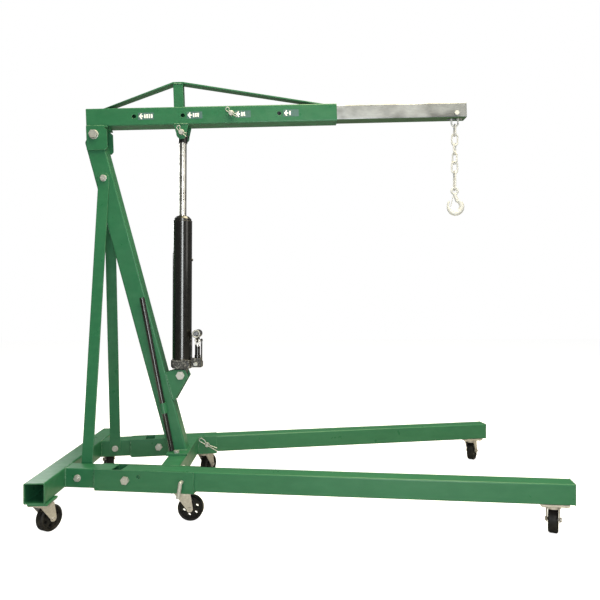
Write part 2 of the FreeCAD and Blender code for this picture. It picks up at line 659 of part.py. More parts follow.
def ram_rod():
    rod_top = RAM_LENGTH - 15
    rod_solid = rod(V(0, 0, PISTON_HIGH), Z, ROD_R, rod_top - PISTON_HIGH)
    eye = rod(V(0, -28, RAM_LENGTH), Y, 17.5, 56).fuse(rod(V(0, 0, RAM_LENGTH - 33), Z, 18, 33))
    eye = eye.cut(rod(V(0, -99, RAM_LENGTH), Y, RAM_PIN_R + FIT, 198))
    eye = eye.cut(rod(V(0, 0, RAM_LENGTH - 34), Z, ROD_R, 19))
    piston = rod(V(0, 0, PISTON_LOW), Z, BORE_R - FIT, PISTON_HIGH - PISTON_LOW)
    save("ram_rod", [on_ram(rod_solid), on_ram(piston)])
    save("ram_rod_eye", on_ram(eye))


def pump():
    """Hand pump on the ram's base: barrel, sliding plunger, lever on a fixed link, release valve."""
    front = PUMP_REAR + 39.5
    block = box(PUMP_REAR, front, -17, 36, 30, 66).cut(box(PUMP_REAR, front, 17, 36, 52, 70))
    block = block.cut(rod(V(PUMP_X, 0, 48), Z, 5 + FIT, 30))
    valve_bore = rod(V(58, -18, 44), Y, 5 + FIT, 16)
    block = block.cut(valve_bore)
    save("pump_block", on_ram(block))
    barrel = rod(V(PUMP_X, 0, 66), Z, 12, 12).fuse(rod(V(PUMP_X, 0, 78), Z, 10, 36))
    save("pump_barrel", on_ram(barrel.cut(rod(V(PUMP_X, 0, 60), Z, 5 + FIT, 70))))
    plunger = rod(V(PUMP_X, 0, 60), Z, 5, 64)
    fork = box(PUMP_X - 9, PUMP_X + 9, -6, 6, 122, LEVER_Z + 6)
    fork = fork.cut(box(PUMP_X - 4.6, PUMP_X + 4.6, -7, 7, 125.2, LEVER_Z + 7))
    pin = rod(V(PUMP_X - 11, 0, LEVER_Z), X, 3, 22)
    save("pump_plunger", on_ram(plunger.fuse([fork, pin]).removeSplitter()))
    lever = slab_yz([(-8, LEVER_Z - 5), (0, LEVER_Z - 8), (FULCRUM_Y, LEVER_Z - 8), (FULCRUM_Y + 8, LEVER_Z),
                     (FULCRUM_Y + 4, LEVER_Z + 9), (16, SOCKET_Z), (-16, SOCKET_Z), (-10, LEVER_Z + 6)],
                    PUMP_X - 4, PUMP_X + 4)
    socket = rod(V(PUMP_X, -42, SOCKET_Z), Y, SOCKET_R, 66)
    lever = lever.fuse(socket).cut(rod(V(PUMP_X, -43, SOCKET_Z), Y, SOCKET_BORE, 61))
    lever = lever.cut(rod(V(PUMP_X - 20, FULCRUM_Y, LEVER_Z), X, 4 + FIT, 40))
    slot = box(PUMP_X - 9, PUMP_X + 9, -2.6, 2.6, LEVER_Z - 3.7, LEVER_Z + 3.7)
    for end in (-2.6, 2.6):
        slot = slot.fuse(rod(V(PUMP_X - 9, end, LEVER_Z), X, 3.7, 18))
    save("pump_lever", on_ram(lever.cut(slot)))
    cheeks = []
    for x0 in (PUMP_X - 14, PUMP_X + 10):
        cheek = box(x0, x0 + 4, FULCRUM_Y - 7, FULCRUM_Y + 7, 52, LEVER_Z)
        cheek = cheek.fuse(rod(V(x0, FULCRUM_Y, LEVER_Z), X, 7, 4))
        cheeks.append(on_ram(cheek.cut(rod(V(x0 - 1, FULCRUM_Y, LEVER_Z), X, 4, 6))))
    cheeks.append(on_ram(rod(V(PUMP_X - 16, FULCRUM_Y, LEVER_Z), X, 4, 32)))
    save("pump_link", cheeks)
    valve = rod(V(58, -31, 44), Y, 7.5, 14).fuse(rod(V(58, -17, 44), Y, 5, 13))
    valve = valve.cut(box(56, 60, -32, -25, 30, 58))
    save("release_valve", on_ram(valve))


def slab_yz(points, x0, x1):
    """Plate whose outline is given in Y and Z, from x0 to x1."""
    wire = Part.makePolygon([V(x0, y, z) for y, z in points] + [V(x0, points[0][0], points[0][1])])
    return Part.Face(wire).extrude(V(x1 - x0, 0, 0))


def pump_handle():
    bottom, direction, length = handle_line()
    save("pump_handle", ring(bottom, direction, 10.0, 7.5, length))


# ---- casters --------------------------------------------------------------------------------
def caster_places():
    """Name, kingpin point on the mounting face, and the way the wheel trails."""
    return [
        ("rear_left", V(REAR_CASTER_X, REAR_CASTER_Y, CASTER_HEIGHT), 118.0, 90.0),
        ("rear_right", V(REAR_CASTER_X, -REAR_CASTER_Y, CASTER_HEIGHT), 62.0, 90.0),
        ("mid_left", leg_point(MID_CASTER, 0, CASTER_HEIGHT, 1), 66.0, SPLAY),
        ("mid_right", leg_point(MID_CASTER, 0, CASTER_HEIGHT, -1), -4.0, -SPLAY),
        ("tip_left", leg_point(TIP_CASTER, 0, CASTER_HEIGHT, 1), 60.0, SPLAY),
        ("tip_right", leg_point(TIP_CASTER, 0, CASTER_HEIGHT, -1), 64.0, -SPLAY),
    ]


def place_caster(shape, point, angle):
    return moved(turned(shape, ORIGIN, Z, angle), point)


def caster_top():
    """Fixed plate with its bearing race and the heads of its four screws."""
    half_x, half_y = CASTER_PLATE[0] / 2, CASTER_PLATE[1] / 2
    plate = box(-half_x, half_x, -half_y, half_y, -3, 0)
    plate = plate.fuse(rod(V(0, 0, -5), Z, 21, 3))
    for x in (9 - half_x, half_x - 9):
        for y in (8 - half_y, half_y - 8):
            plate = plate.fuse(rod(V(x, y, -5), Z, 5, 4))
    return plate.cut(rod(V(0, 0, -9), Z, 6 + FIT, 10)).removeSplitter()


def caster_fork():
    crown = rod(V(0, 0, -13), Z, 25, 7.6).fuse(rod(V(0, 0, -13), Z, 6, 12))
    low = WHEEL_R - CASTER_HEIGHT
    shape = crown
    for side in (1, -1):
        y0 = 19 if side > 0 else -22
        cheek = slab([(-29, -5.4), (29, -5.4), (TRAIL + 11.5, low + 6), (TRAIL + 11.5, low), (TRAIL - 11.5, low)],
                     y0, y0 + 3)
        cheek = cheek.fuse(rod(V(TRAIL, y0, low), Y, 11.5, 3))
        shape = shape.fuse(cheek)
    shape = shape.cut(rod(V(TRAIL, -40, low), Y, AXLE_R, 80))
    return shape.removeSplitter()


def caster_wheel():
    low = WHEEL_R - CASTER_HEIGHT
    half = WHEEL_WIDTH / 2
    outline = [(0, half - 3), (12, half - 3), (14, half - 6), (34, half - 6), (36, half - 1), (41, half),
               (WHEEL_R, half - 5)]
    points = [V(r, y, 0) for r, y in outline] + [V(r, -y, 0) for r, y in reversed(outline)]
    wire = Part.makePolygon(points + [points[0]])
    wheel = Part.Face(wire).revolve(ORIGIN, Y, 360)
    for i in range(6):
        angle = math.radians(60 * i + 20)
        wheel = wheel.cut(rod(V(25 * math.cos(angle), -half, 25 * math.sin(angle)), Y, LIGHT_HOLE_R, 2 * half))
    wheel = wheel.cut(rod(V(0, -half - 1, 0), Y, AXLE_R + FIT, WHEEL_WIDTH + 2))
    return moved(wheel, V(TRAIL, 0, low))


def casters():
    low = WHEEL_R - CASTER_HEIGHT
    frame_plates = []
    for name, point, trail, splay in caster_places():
        axle_parts = [rod(V(TRAIL, -25, low), Y, AXLE_R, 50),
                      hexagon(V(TRAIL, -22, low), Y * -1, 13.0, 5).cut(rod(V(TRAIL, -40, low), Y, AXLE_R + FIT, 60)),
                      hexagon(V(TRAIL, 22, low), Y, 13.0, 5).cut(rod(V(TRAIL, -40, low), Y, AXLE_R + FIT, 60))]
        plate = place_caster(caster_top(), point, splay)
        if name.startswith("tip"):
            pad = box(TIP_CASTER - 45, TIP_CASTER + 45, -HALF, HALF, CASTER_HEIGHT, BASE_Z)
            side_name = name[4:]
            save("leg_caster_plates_" + side_name, [on_leg(pad, SIDES[side_name]), plate])
        else:
            frame_plates.append(plate)
        fork = [place_caster(caster_fork(), point, trail)]
        fork += [place_caster(piece, point, trail) for piece in axle_parts]
        save("caster_fork_" + name, fork)
        save("caster_wheel_" + name, place_caster(caster_wheel(), point, trail))
    save("caster_plates", frame_plates)


def main():
    os.makedirs("parts", exist_ok=True)
    rear_crossmember()
    front_crossbeam()
    caster_pads()
    mast()
    for name, side in SIDES.items():
        side_rail(name, side)
        leg_channel(name, side)
        leg(name, side)
    save("mast_braces", [brace(side) for side in SIDES.values()])
    frame_bolts()
    pivot_bolts()
    lock_pins()
    ram_lower_bracket()
    handle_holder()
    boom_outer()
    pivot_bracket()
    truss()
    ram_upper_bracket()
    boom_pins()
    boom_inner()
    chain()
    hook()
    hook_latch()
    ram_body()
    ram_rod()
    pump()
    pump_handle()
    casters()


main()
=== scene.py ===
import math

import bpy
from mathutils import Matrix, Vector, noise

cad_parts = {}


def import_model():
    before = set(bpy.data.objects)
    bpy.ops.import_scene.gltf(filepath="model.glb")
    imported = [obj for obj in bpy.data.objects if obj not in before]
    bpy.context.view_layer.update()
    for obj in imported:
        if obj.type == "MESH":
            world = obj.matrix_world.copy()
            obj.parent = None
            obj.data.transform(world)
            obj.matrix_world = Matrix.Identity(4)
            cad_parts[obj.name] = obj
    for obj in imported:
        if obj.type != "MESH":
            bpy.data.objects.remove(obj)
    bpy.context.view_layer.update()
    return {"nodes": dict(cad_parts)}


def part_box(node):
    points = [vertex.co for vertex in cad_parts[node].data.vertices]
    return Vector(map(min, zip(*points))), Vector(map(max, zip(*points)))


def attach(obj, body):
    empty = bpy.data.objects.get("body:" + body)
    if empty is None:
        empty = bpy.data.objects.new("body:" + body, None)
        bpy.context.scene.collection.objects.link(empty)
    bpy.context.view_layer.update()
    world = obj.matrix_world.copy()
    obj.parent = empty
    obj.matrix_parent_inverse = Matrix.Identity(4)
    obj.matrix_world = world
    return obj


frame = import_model()
nodes = frame["nodes"]

# ---- measures shared with the CAD model, in metres and radians ------------------------------
SIDES = (1, -1)
TUBE = 0.070
HALF = TUBE / 2
SPLAY = math.radians(8.64)
LEAN = math.radians(14.9)
PITCH = math.radians(2.0)
PIVOT = Vector((-0.805, 0, 1.437))
MAST_SET_BACK = 0.009
RAIL_Y = 0.2053
RAM_FOOT = Vector((-0.4705, 0, 0.487))
BOOM_DROP = 0.034
CHANNEL_START = 0.118
CHANNEL_HALF = 0.0408
BRACE_STATION = 0.052
BRACE_THICK = 0.006
MAST_BOLT_RISE = -0.174  # braces' upper bolt, along the mast from the boom pivot
CHEEK_Y = 0.0430         # outside of the boom's pivot bracket
RAM_TOP = 0.340
HOLE_FIRST = 0.1565
HOLE_PITCH = 0.191
HOLE_COUNT = 4
SOCKET_RISE = 0.165      # pump lever's socket, along the ram from its lower pin

cross_low, cross_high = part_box("rear_crossmember")
FRAME_X = cross_high.x
BASE_Z = cross_low.z
TOP_Z = cross_high.z
beam_low, beam_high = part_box("front_crossbeam")
FOOT_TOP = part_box("mast_foot_plate")[1].z


def leg_point(station, out, z, side):
    """A point along a leg, out from its centre line, at a height."""
    along = Vector((math.cos(SPLAY), side * math.sin(SPLAY), 0))
    return Vector((FRAME_X, side * RAIL_Y, z)) + along * station + leg_normal(side) * out


def leg_normal(side):
    """Level direction out of a leg's outer face."""
    return Vector((-math.sin(SPLAY), side * math.cos(SPLAY), 0))


def boom_point(u, y, w):
    """A point u along the boom from its pivot and w above it."""
    return PIVOT + Vector((u * math.cos(PITCH) - w * math.sin(PITCH), y,
                           u * math.sin(PITCH) + w * math.cos(PITCH)))


def mast_face(forward, z):
    """X of the mast's section, forward of the boom pivot's line, at a height."""
    rise = (z - PIVOT.z - forward * math.sin(LEAN)) / math.cos(LEAN)
    return PIVOT.x + forward * math.cos(LEAN) - rise * math.sin(LEAN)


# ---- materials ------------------------------------------------------------------------------
class Finish:
    """A Principled material and short calls that build its node network."""

    def __init__(self, name, **sockets):
        self.material = bpy.data.materials.new(name)
        self.material.use_nodes = True
        self.tree = self.material.node_tree
        self.shader = self.tree.nodes["Principled BSDF"]
        for socket, value in sockets.items():
            self.shader.inputs[socket.replace("_", " ")].default_value = value
        self.place = self.add("ShaderNodeTexCoord").outputs["Object"]

    def add(self, kind, **settings):
        node = self.tree.nodes.new(kind)
        for key, value in settings.items():
            setattr(node, key, value)
        return node

    def link(self, source, target):
        if hasattr(source, "is_output"):
            self.tree.links.new(source, target)
        else:
            target.default_value = source

    def noise(self, scale, detail=3.0, stretch=None, roughness=0.55):
        node = self.add("ShaderNodeTexNoise")
        node.inputs["Scale"].default_value = scale
        node.inputs["Detail"].default_value = detail
        node.inputs["Roughness"].default_value = roughness
        place = self.place
        if stretch:
            mapping = self.add("ShaderNodeMapping")
            mapping.inputs["Scale"].default_value = stretch
            self.link(place, mapping.inputs["Vector"])
            place = mapping.outputs["Vector"]
        self.link(place, node.inputs["Vector"])
        return node.outputs["Fac"]

    def cells(self, scale):
        node = self.add("ShaderNodeTexVoronoi")
        node.inputs["Scale"].default_value = scale
        self.link(self.place, node.inputs["Vector"])
        return node.outputs["Color"]

    def span(self, value, low, high, out_low=0.0, out_high=1.0):
        node = self.add("ShaderNodeMapRange")
        self.link(value, node.inputs["Value"])
        for socket, number in (("From Min", low), ("From Max", high),
                               ("To Min", out_low), ("To Max", out_high)):
            node.inputs[socket].default_value = number
        return node.outputs["Result"]

    def math(self, operation, a, b):
        node = self.add("ShaderNodeMath", operation=operation, use_clamp=True)
        self.link(a, node.inputs[0])
        self.link(b, node.inputs[1])
        return node.outputs[0]

    def mix(self, factor, a, b):
        node = self.add("ShaderNodeMix", data_type="RGBA")
        self.link(factor, node.inputs[0])
        self.link(a, node.inputs[6])
        self.link(b, node.inputs[7])
        return node.outputs[2]

    def edges(self, radius, gain):
        """Bright along outside and inside edges, from how far a bevel turns the surface."""
        bevel = self.add("ShaderNodeBevel", samples=6)
        bevel.inputs["Radius"].default_value = radius
        flat = self.add("ShaderNodeNewGeometry").outputs["Normal"]
        dot = self.add("ShaderNodeVectorMath", operation="DOT_PRODUCT")
        self.link(bevel.outputs["Normal"], dot.inputs[0])
        self.link(flat, dot.inputs[1])
        return self.span(dot.outputs["Value"], 1.0, 1.0 - gain), bevel.outputs["Normal"]

    def bump(self, height, strength, distance, normal=None):
        node = self.add("ShaderNodeBump")
        node.inputs["Strength"].default_value = strength
        node.inputs["Distance"].default_value = distance
        self.link(height, node.inputs["Height"])
        if normal:
            self.link(normal, node.inputs["Normal"])
        self.link(node.outputs["Normal"], self.shader.inputs["Normal"])

    def colour(self, value):
        self.link(value, self.shader.inputs["Base Color"])

    def roughness(self, value):
        self.link(value, self.shader.inputs["Roughness"])

    def metallic(self, value):
        self.link(value, self.shader.inputs["Metallic"])


def rgb(r, g, b):
    return (r, g, b, 1.0)


LOW, HIGH = 0.3, 0.7     # a noise texture's values lie mostly between these


GREEN = rgb(0.022, 0.130, 0.060)
GREEN_DEEP = rgb(0.018, 0.115, 0.052)
GREEN_PALE = rgb(0.034, 0.155, 0.074)
# pale green for edges and weld glints: partly worn paint, partly painted highlight
GREEN_WEAR_AND_HIGHLIGHT = rgb(0.24, 0.42, 0.28)


def green_colour(f, edge):
    """Enamel tone: broad drift, finer clouding and a paler line over edges, partly where it thins
    and partly a painted highlight.
    """
    broad = f.span(f.noise(3.5, 2.0), 0.35, 0.68)
    cloud = f.span(f.noise(42.0, 4.0, stretch=(0.4, 1.0, 1.0)), 0.42, 0.74, 0.0, 0.40)
    tone = f.mix(broad, GREEN_DEEP, GREEN)
    tone = f.mix(cloud, tone, GREEN_PALE)
    broken = f.span(f.noise(38.0, 5.0), 0.36, 0.60)
    # paler edge line: partly worn paint, partly a painted highlight along the edges
    worn = f.math("MULTIPLY", edge, f.math("MULTIPLY", broken, 0.62))
    return f.mix(worn, tone, GREEN_WEAR_AND_HIGHLIGHT)


def green_enamel():
    f = Finish("green_enamel", Coat_Weight=0.06, Coat_Roughness=0.22)
    f.shader.inputs["Specular IOR Level"].default_value = 0.32
    edge, normal = f.edges(0.0022, 0.30)
    f.colour(green_colour(f, edge))
    f.roughness(f.span(f.noise(24.0, 4.0), LOW, HIGH, 0.27, 0.43))
    f.bump(f.noise(420.0, 2.0), 0.10, 0.0006, normal)
    return f.material


def green_weld():
    f = Finish("green_weld", Coat_Weight=0.35, Coat_Roughness=0.10)
    ripple = f.noise(210.0, 3.0)
    tone = f.mix(f.span(ripple, 0.40, 0.64), GREEN_DEEP, GREEN_PALE)
    glint = f.span(f.noise(95.0, 2.0), 0.56, 0.72, 0.0, 0.55)
    f.colour(f.mix(glint, tone, GREEN_WEAR_AND_HIGHLIGHT))
    f.roughness(f.span(ripple, LOW, HIGH, 0.20, 0.36))
    f.bump(ripple, 0.35, 0.0008)
    return f.material


def black_gloss():
    f = Finish("black_gloss", Coat_Weight=0.90, Coat_Roughness=0.13)
    f.shader.inputs["Specular IOR Level"].default_value = 0.30
    edge, normal = f.edges(0.0015, 0.35)
    drift = f.span(f.noise(9.0, 3.0), LOW, HIGH)
    tone = f.mix(drift, rgb(0.003, 0.003, 0.0028), rgb(0.006, 0.006, 0.0055))
    worn = f.math("MULTIPLY", edge, f.span(f.noise(70.0, 4.0), 0.48, 0.66, 0.0, 0.5))
    f.colour(f.mix(worn, tone, rgb(0.17, 0.17, 0.16)))
    f.roughness(f.span(f.noise(30.0, 4.0), LOW, HIGH, 0.24, 0.36))
    f.bump(f.noise(90.0, 2.0), 0.06, 0.0006, normal)
    return f.material


def black_casting():
    """Sand-cast and painted: grainy, with bare metal showing on the high grains."""
    f = Finish("black_casting", Coat_Weight=0.2, Coat_Roughness=0.25)
    edge, normal = f.edges(0.0025, 0.30)
    grain = f.noise(150.0, 5.0, roughness=0.70)
    patch = f.span(f.noise(34.0, 3.0), 0.40, 0.54)
    rub = f.math("MULTIPLY", f.span(grain, 0.50, 0.66), patch)
    rub = f.math("ADD", f.math("MULTIPLY", rub, 0.65), f.math("MULTIPLY", edge, 0.35))
    f.colour(f.mix(rub, rgb(0.005, 0.005, 0.005), rgb(0.40, 0.40, 0.38)))
    f.roughness(f.span(grain, LOW, HIGH, 0.34, 0.60))
    f.bump(grain, 0.55, 0.0012, normal)
    return f.material


def zinc(name, colour, dull, rough, metallic=0.85, grime_share=0.40):
    f = Finish(name, Metallic=metallic)
    edge, normal = f.edges(0.0008, 0.45)
    spangle = f.span(f.cells(260.0), 0.2, 0.9, 0.0, 0.6)
    tone = f.mix(spangle, dull, colour)
    grime = f.span(f.noise(80.0, 4.0), 0.52, 0.76, 0.0, grime_share)
    tone = f.mix(grime, tone, rgb(0.36, 0.34, 0.30))
    f.colour(f.mix(f.math("MULTIPLY", edge, 0.3), tone, rgb(0.80, 0.80, 0.78)))
    f.roughness(f.span(f.noise(150.0, 3.0), LOW, HIGH, rough - 0.08, rough + 0.10))
    f.bump(f.noise(520.0, 2.0), 0.12, 0.0004, normal)
    return f.material


def mottled_steel():
    """Bare drawn tube with clouded oxide, its underside in the frame's enamel, darkened there as
    painted shade.
    """
    f = Finish("mottled_steel", Coat_Weight=0.0)
    edge, normal = f.edges(0.0030, 0.30)
    cloud = f.noise(11.0, 4.0, stretch=(0.9, 1.0, 1.5), roughness=0.50)
    drawn = f.noise(30.0, 4.0, stretch=(0.10, 4.0, 4.0))
    tone = f.mix(f.span(cloud, 0.34, 0.66), rgb(0.130, 0.138, 0.150), rgb(0.40, 0.425, 0.460))
    tone = f.mix(f.span(drawn, 0.40, 0.66, 0.0, 0.30), tone, rgb(0.27, 0.285, 0.305))
    tone = f.mix(f.math("MULTIPLY", edge, 0.75), tone, rgb(0.05, 0.055, 0.05))
    across = f.add("ShaderNodeSeparateXYZ")
    f.link(f.add("ShaderNodeTexCoord").outputs["Normal"], across.inputs[0])
    under = f.span(across.outputs["Z"], -0.55, -0.80)
    # underside: the enamel tone darkened toward near-black as painted shade
    shaded = f.mix(0.55, green_colour(f, edge), rgb(0.020, 0.045, 0.012))
    f.colour(f.mix(under, tone, shaded))
    f.metallic(f.span(under, 0.0, 1.0, 0.55, 0.0))
    f.roughness(f.span(cloud, LOW, HIGH, 0.52, 0.34))
    f.bump(drawn, 0.14, 0.0006, normal)
    return f.material


def hard_chrome():
    f = Finish("hard_chrome", Metallic=1.0)
    lines = f.noise(12.0, 2.0, stretch=(1.0, 1.0, 3.0))
    f.colour(f.mix(f.span(lines, 0.35, 0.65), rgb(0.62, 0.60, 0.55), rgb(0.80, 0.79, 0.75)))
    f.roughness(f.span(lines, LOW, HIGH, 0.26, 0.34))
    f.bump(lines, 0.02, 0.0002)
    return f.material


def wheel_rubber():
    f = Finish("wheel_rubber")
    f.shader.inputs["Specular IOR Level"].default_value = 0.22
    edge, normal = f.edges(0.0015, 0.35)
    dust = f.math("MULTIPLY", f.span(f.noise(70.0, 5.0), 0.48, 0.72), 0.30)
    dust = f.math("ADD", dust, f.math("MULTIPLY", edge, 0.20))
    f.colour(f.mix(dust, rgb(0.004, 0.0038, 0.0036), rgb(0.055, 0.050, 0.045)))
    f.roughness(f.span(f.noise(120.0, 3.0), LOW, HIGH, 0.42, 0.62))
    f.bump(f.noise(700.0, 2.0), 0.18, 0.0005, normal)
    return f.material


def vinyl(name, colour, shade):
    f = Finish(name, Coat_Weight=0.1)
    wear = f.span(f.noise(140.0, 4.0), 0.44, 0.70)
    f.colour(f.mix(wear, colour, shade))
    f.roughness(f.span(wear, 0.0, 1.0, 0.36, 0.50))
    f.bump(f.noise(300.0, 2.0), 0.05, 0.0003)
    return f.material


ENAMEL = green_enamel()
WELD = green_weld()
GLOSS = black_gloss()
CASTING = black_casting()
ZINC = zinc("zinc_plate", rgb(0.50, 0.52, 0.51), rgb(0.38, 0.39, 0.38), 0.38, 0.5)
FORKS = zinc("caster_zinc", rgb(0.56, 0.53, 0.49), rgb(0.40, 0.375, 0.345), 0.40, 0.6)
BRIGHT = zinc("bright_zinc", rgb(0.58, 0.59, 0.60), rgb(0.52, 0.53, 0.54), 0.50, 0.12, 0.15)
STEEL = mottled_steel()
CHROME = hard_chrome()
RUBBER = wheel_rubber()
LABEL = vinyl("label_ground", rgb(0.055, 0.120, 0.125), rgb(0.035, 0.125, 0.085))
MARKS = vinyl("label_marks", rgb(0.82, 0.84, 0.84), rgb(0.62, 0.68, 0.66))

# The first start that fits a node's name gives its finish; every other node is enamelled.
BY_START = [
    ("caster_wheel", RUBBER), ("caster_fork", FORKS), ("caster_plates", FORKS),
    ("leg_caster_plates", FORKS), ("chain_links", BRIGHT), ("hook", BRIGHT),
    ("boom_pins", ZINC), ("pivot_bolts", ZINC), ("frame_bolts", ZINC),
    ("leg_lock_pins", ZINC), ("ram_lower_pin", ZINC), ("release_valve", ZINC),
    ("pump_plunger", CHROME), ("ram_rod_eye", GLOSS), ("ram_rod", CHROME),
    ("ram_pressure_tube", STEEL), ("ram_reservoir", GLOSS), ("ram_head", GLOSS),
    ("ram_fittings", CASTING), ("ram_base", CASTING), ("pump_block", CASTING),
    ("pump_", GLOSS), ("boom_inner", STEEL),
]


def finish_for(name):
    for start, material in BY_START:
        if name.startswith(start):
            return material
    return ENAMEL


for name, node in nodes.items():
    node.data.materials.clear()
    node.data.materials.append(finish_for(name))


# ---- building -------------------------------------------------------------------------------
def piece(name, verts, faces, material, body, smooth=True):
    mesh = bpy.data.meshes.new(name)
    mesh.from_pydata([tuple(v) for v in verts], [], faces)
    mesh.validate()
    mesh.materials.append(material)
    mesh.polygons.foreach_set("use_smooth", [smooth] * len(mesh.polygons))
    made = bpy.data.objects.new(name, mesh)
    bpy.context.scene.collection.objects.link(made)
    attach(made, body)
    return made


def walk(points, step):
    """Points a fixed step apart along a polyline."""
    path = []
    for a, b in zip(points, points[1:]):
        count = max(2, round((b - a).length / step))
        path += [a.lerp(b, i / count) for i in range(count)]
    return path + [points[-1]]


WELD_STEP = 0.0013
WELD_PITCH = 0.0052
RING = 8


def bead_rings(points, radius):
    """Rings of vertices along a weld: crescents a pitch apart, uneven as hand welding is."""
    path = walk(points, WELD_STEP)
    verts = []
    for i, at in enumerate(path):
        ahead = path[min(i + 1, len(path) - 1)] - path[max(i - 1, 0)]
        ahead.normalize()
        reference = Vector((0, 0, 1)) if abs(ahead.z) < 0.7 else Vector((1, 0, 0))
        side = ahead.cross(reference).normalized()
        up = side.cross(ahead)
        phase = (i * WELD_STEP / WELD_PITCH) % 1.0
        swell = 0.84 + 0.22 * math.sin(math.pi * phase) + 0.16 * noise.noise(at * 160)
        end = min(i, len(path) - 1 - i)
        taper = min(1.0, 0.35 + 0.33 * end)
        for k in range(RING):
            turn = 2 * math.pi * k / RING
            lag = -0.45 * radius * math.sin(turn) ** 2 if 0 < end else 0.0
            reach = radius * swell * taper
            verts.append(at + side * (reach * math.cos(turn)) + up * (reach * math.sin(turn))
                         + ahead * lag)
    return verts, len(path)


def welds(name, runs, radius, body):
    """One piece of several weld runs."""
    verts, faces = [], []
    for points in runs:
        rings, count = bead_rings(points, radius)
        base = len(verts)
        verts += rings
        for i in range(count - 1):
            for k in range(RING):
                a, b = base + i * RING + k, base + i * RING + (k + 1) % RING
                faces.append((a, b, b + RING, a + RING))
        faces.append(tuple(base + k for k in reversed(range(RING))))
        faces.append(tuple(base + (count - 1) * RING + k for k in range(RING)))
    return piece(name, verts, faces, WELD, body)


def turned_ring(name, at, axis, profile, material, body, segments=40):
    """Ring turned about an axis: profile is radius and height pairs around its section."""
    axis = Vector(axis).normalized()
    reference = Vector((1, 0, 0)) if abs(axis.x) < 0.7 else Vector((0, 0, 1))
    side = axis.cross(reference).normalized()
    other = axis.cross(side)
    verts, faces = [], []
    for i in range(segments):
        turn = 2 * math.pi * i / segments
        out = side * math.cos(turn) + other * math.sin(turn)
        verts += [Vector(at) + out * r + axis * h for r, h in profile]
    n = len(profile)
    for i in range(segments):
        for k in range(n):
            a, b = i * n + k, i * n + (k + 1) % n
            c = (i + 1) % segments * n
            faces.append((a, b, c + (k + 1) % n, c + k))
    return piece(name, verts, faces, material, body)


def washer(name, at, axis, inner, outer, body):
    thick, soft = 0.0022, 0.0006
    profile = [(inner, 0), (outer - soft / 2, 0), (outer, soft / 2), (outer, thick - soft),
               (outer - soft, thick), (inner + soft, thick), (inner, thick - soft)]
    return turned_ring(name, at, axis, profile, ZINC, body)


# ---- welds on the base ----------------------------------------------------------------------
def side_name(side):
    return "left" if side > 0 else "right"


for side in SIDES:
    reach = HALF / math.cos(SPLAY) + 0.0006
    low, high = side * RAIL_Y - reach, side * RAIL_Y + reach
    x = FRAME_X + 0.0008
    corners = [Vector((x, low, BASE_Z + 0.002)), Vector((x, low, TOP_Z - 0.003)),
               Vector((x, low + 0.004, TOP_Z - 0.0008)), Vector((x, high - 0.004, TOP_Z - 0.0008)),
               Vector((x, high, TOP_Z - 0.003)), Vector((x, high, BASE_Z + 0.002)),
               Vector((x, low, BASE_Z + 0.002))]
    welds("weld_rail_" + side_name(side), [corners], 0.0030, "base")
    seams = []
    for flank in (1, -1):
        out = flank * (CHANNEL_HALF - 0.0026)
        seams.append([leg_point(CHANNEL_START - 0.0014, out, BASE_Z + 0.002, side),
                      leg_point(CHANNEL_START - 0.0014, out, TOP_Z - 0.002, side)])
    welds("weld_channel_" + side_name(side), seams, 0.0028, "base")

beam_welds = []
for side in SIDES:
    for x in (beam_low.x, beam_high.x):
        y = RAIL_Y + (x - FRAME_X) * math.tan(SPLAY) - CHANNEL_HALF / math.cos(SPLAY)
        y = side * (y - 0.0008)
        beam_welds.append([Vector((x, y, BASE_Z + 0.004)), Vector((x, y, TOP_Z - 0.004))])
welds("weld_crossbeam", beam_welds, 0.0030, "base")

rear_x = mast_face(-MAST_SET_BACK - HALF, FOOT_TOP)
front_x = mast_face(HALF - MAST_SET_BACK, FOOT_TOP)
z = FOOT_TOP + 0.0006
mast_loop = [Vector((rear_x, -HALF, z)), Vector((front_x, -HALF, z)), Vector((front_x, HALF, z)),
             Vector((rear_x, HALF, z)), Vector((rear_x, -HALF, z))]
welds("weld_mast_foot", [mast_loop], 0.0032, "base")

ear_welds = []
for side in SIDES:
    run = []
    for drop in (0.098, 0.06, 0.02, -0.010):
        level = RAM_FOOT.z - drop
        x = mast_face(HALF - MAST_SET_BACK, level) + 0.0004
        run.append(Vector((x, side * (HALF - 0.0012), level)))
    ear_welds.append(run)
welds("weld_ram_bracket", ear_welds, 0.0030, "base")

pad_welds = []
pads_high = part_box("rear_caster_pads")[1]
for side in SIDES:
    inner = pads_high.y - 0.080
    for x in (cross_low.x + 0.004, cross_high.x - 0.004):
        pad_welds.append([Vector((x, side * (inner + 0.004), BASE_Z + 0.0004)),
                          Vector((x, side * (pads_high.y - 0.004), BASE_Z + 0.0004))])
welds("weld_rear_pads", pad_welds, 0.0024, "base")

# ---- welds on the boom ----------------------------------------------------------------------
POST_MID, POST_HALF = 0.3305, 0.019
TRUSS_REAR, TRUSS_FRONT, TRUSS_TOP = 0.030, 0.931, 0.201
STRAP_HALF = 0.0200
deck = BOOM_DROP + TUBE + 0.0005
post = [boom_point(POST_MID + a * POST_HALF, b * POST_HALF, deck)
        for a, b in ((-1, -1), (1, -1), (1, 1), (-1, 1), (-1, -1))]
cap_level = TRUSS_TOP - 0.0012
cap = []
for side in SIDES:
    cap.append([boom_point(POST_MID - POST_HALF, side * POST_HALF, cap_level),
                boom_point(POST_MID + POST_HALF, side * POST_HALF, cap_level)])
strap = []
for side in SIDES:
    strap.append([boom_point(TRUSS_REAR - 0.001, side * STRAP_HALF, deck),
                  boom_point(TRUSS_REAR + 0.046, side * STRAP_HALF, deck)])
    strap.append([boom_point(TRUSS_FRONT - 0.075, side * STRAP_HALF, deck),
                  boom_point(TRUSS_FRONT - 0.002, side * STRAP_HALF, deck)])
